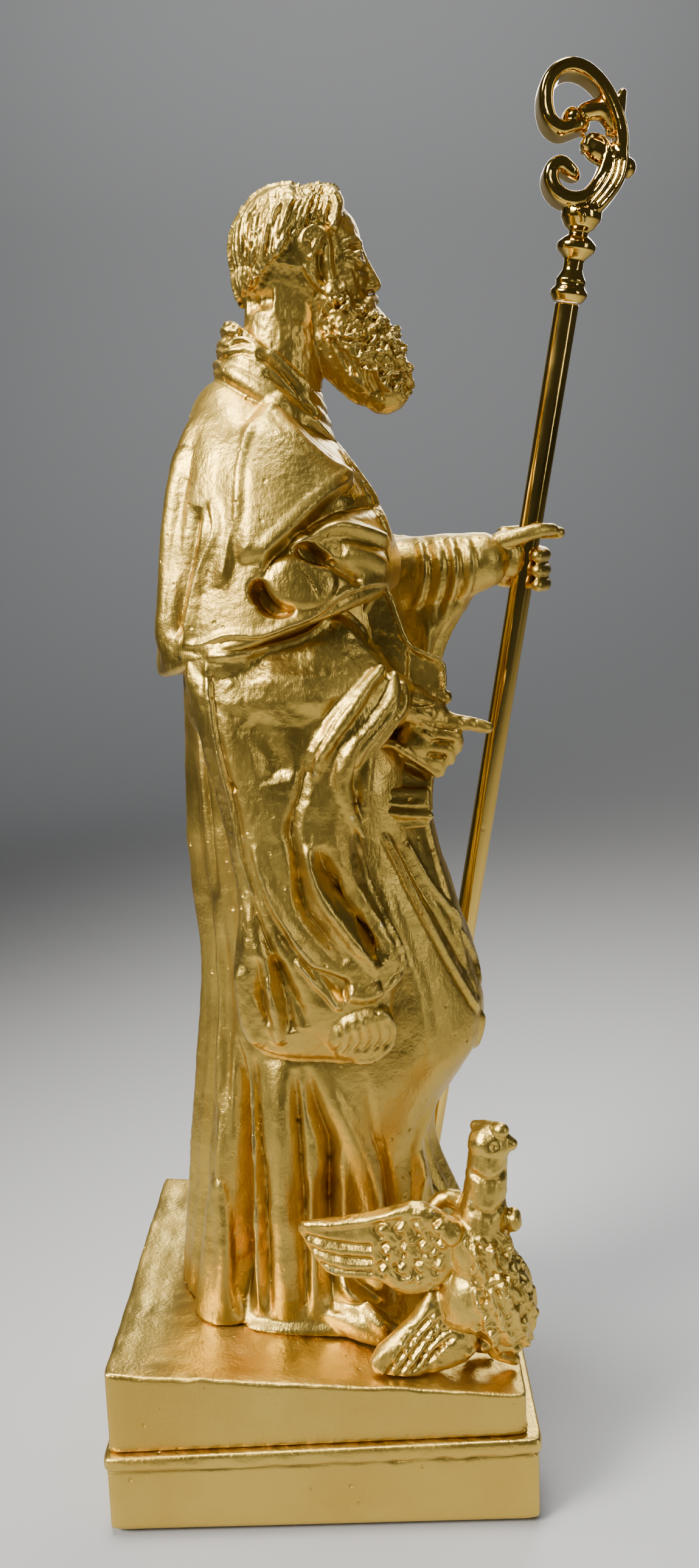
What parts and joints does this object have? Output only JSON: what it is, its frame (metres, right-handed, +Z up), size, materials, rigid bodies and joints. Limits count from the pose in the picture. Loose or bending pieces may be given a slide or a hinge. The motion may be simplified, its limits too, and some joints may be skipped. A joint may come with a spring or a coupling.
{
  "type": "saint statue",
  "caption": "Gilded bronze abbot saint in habit and cape, holding a crosier and an open book, a raven at the feet, on a square stepped base",
  "frame": {"origin": "middle of the underside of the felt pad below the square base", "axes": "+Z up, +X the way the saint faces, +Y the saint's left"},
  "size_m": [0.1115, 0.0844, 0.2766],
  "materials": {
    "satin_gilding": "satin gold plating on rough cast bronze",
    "polished_gilding": "bright polished gold plating",
    "felt": "thin black felt"
  },
  "bodies": {
    "root": {"felt_pad": "felt", "plinth": "satin_gilding", "ground": "satin_gilding", "saint_figure": "satin_gilding", "raven": "satin_gilding", "crosier_shaft": "polished_gilding", "crosier_crook": "polished_gilding"}
  },
  "joints": []
}
